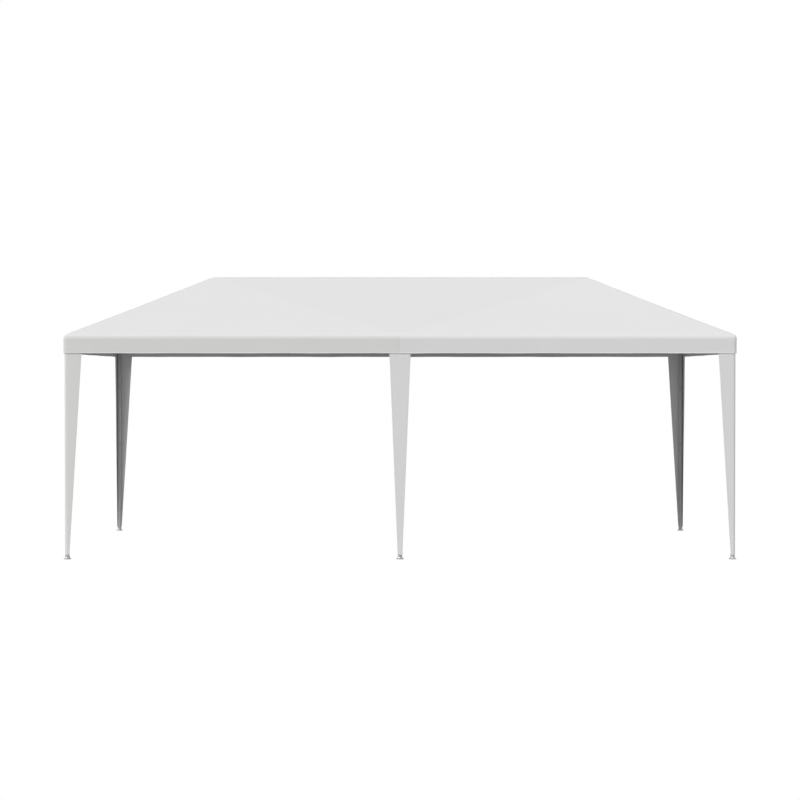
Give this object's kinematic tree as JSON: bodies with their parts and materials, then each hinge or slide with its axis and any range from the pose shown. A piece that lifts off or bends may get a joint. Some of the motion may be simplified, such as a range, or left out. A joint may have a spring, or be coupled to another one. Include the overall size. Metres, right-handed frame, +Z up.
{
  "type": "marquee tent",
  "caption": "Long marquee tent with a hipped white canopy, short valance, round steel tube frame and tapered fabric covers hanging over its legs.",
  "frame": {"origin": "on the ground, under the middle of the tent", "axes": "+X along the tent's length, +Y from the front to the back, +Z up"},
  "size_m": [6.0114, 3.0114, 2.5999],
  "materials": {
    "tube_steel": "light grey powder-coated steel tube, satin",
    "joint_steel": "light grey powder-coated tube joints, satin, a little darker than the tubes",
    "foot_steel": "light grey pressed steel feet, satin, scuffed at the rim",
    "roof_fabric": "white coated woven polyethylene sheet, fine tape weave, soft sheen",
    "cover_fabric": "white coated woven polyethylene sheet, matt"
  },
  "bodies": {
    "root": {"pole_front_left": "tube_steel", "pole_front_middle": "tube_steel", "pole_front_right": "tube_steel", "pole_back_left": "tube_steel", "pole_back_middle": "tube_steel", "pole_back_right": "tube_steel", "foot_front_left": "foot_steel", "foot_front_middle": "foot_steel", "foot_front_right": "foot_steel", "foot_back_left": "foot_steel", "foot_back_middle": "foot_steel", "foot_back_right": "foot_steel", "eave_beam_front_left": "tube_steel", "eave_beam_front_right": "tube_steel", "eave_beam_back_left": "tube_steel", "eave_beam_back_right": "tube_steel", "eave_beam_left_end": "tube_steel", "eave_beam_right_end": "tube_steel", "hip_rafter_front_left": "tube_steel", "hip_rafter_front_right": "tube_steel", "hip_rafter_back_left": "tube_steel", "hip_rafter_back_right": "tube_steel", "middle_rafter_front": "tube_steel", "middle_rafter_back": "tube_steel", "ridge_tube_left": "tube_steel", "ridge_tube_right": "tube_steel", "corner_joint_front_left": "joint_steel", "corner_joint_front_right": "joint_steel", "corner_joint_back_left": "joint_steel", "corner_joint_back_right": "joint_steel", "eave_joint_front": "joint_steel", "eave_joint_back": "joint_steel", "ridge_joint_left": "joint_steel", "ridge_joint_middle": "joint_steel", "ridge_joint_right": "joint_steel", "roof_panel_front": "roof_fabric", "roof_panel_back": "roof_fabric", "roof_panel_left_end": "roof_fabric", "roof_panel_right_end": "roof_fabric", "leg_cover_front_left": "cover_fabric", "leg_cover_front_middle": "cover_fabric", "leg_cover_front_right": "cover_fabric", "leg_cover_back_left": "cover_fabric", "leg_cover_back_middle": "cover_fabric", "leg_cover_back_right": "cover_fabric"}
  },
  "joints": []
}
